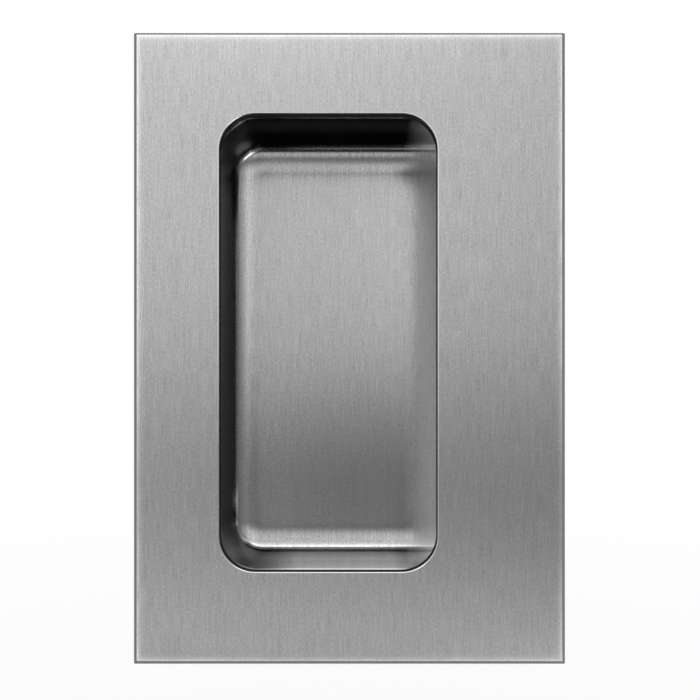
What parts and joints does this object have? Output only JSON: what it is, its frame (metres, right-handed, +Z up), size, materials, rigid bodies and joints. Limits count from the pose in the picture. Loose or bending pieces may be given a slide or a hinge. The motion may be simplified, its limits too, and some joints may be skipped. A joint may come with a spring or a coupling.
{
  "type": "pocket door pull",
  "caption": "Rectangular flush pull for a sliding door: a brushed plate with an offset window, a drawn finger pan behind it and an undercut grip on the broad side.",
  "frame": {"origin": "middle of the face plate's back face, on the door's surface", "axes": "+Z up the door, +X to the right seen from the front, +Y into the door; the visible face looks along -Y"},
  "size_m": [0.082, 0.0177, 0.12],
  "materials": {
    "plate_steel": "fine upright hairline brushing on the front, ground edges, mill finish on the back",
    "pan_steel": "upright hairline brushing on the floor, smoother drawn walls, mill finish outside"
  },
  "bodies": {
    "root": {"face_plate": "plate_steel", "recess_pan": "pan_steel"}
  },
  "joints": []
}
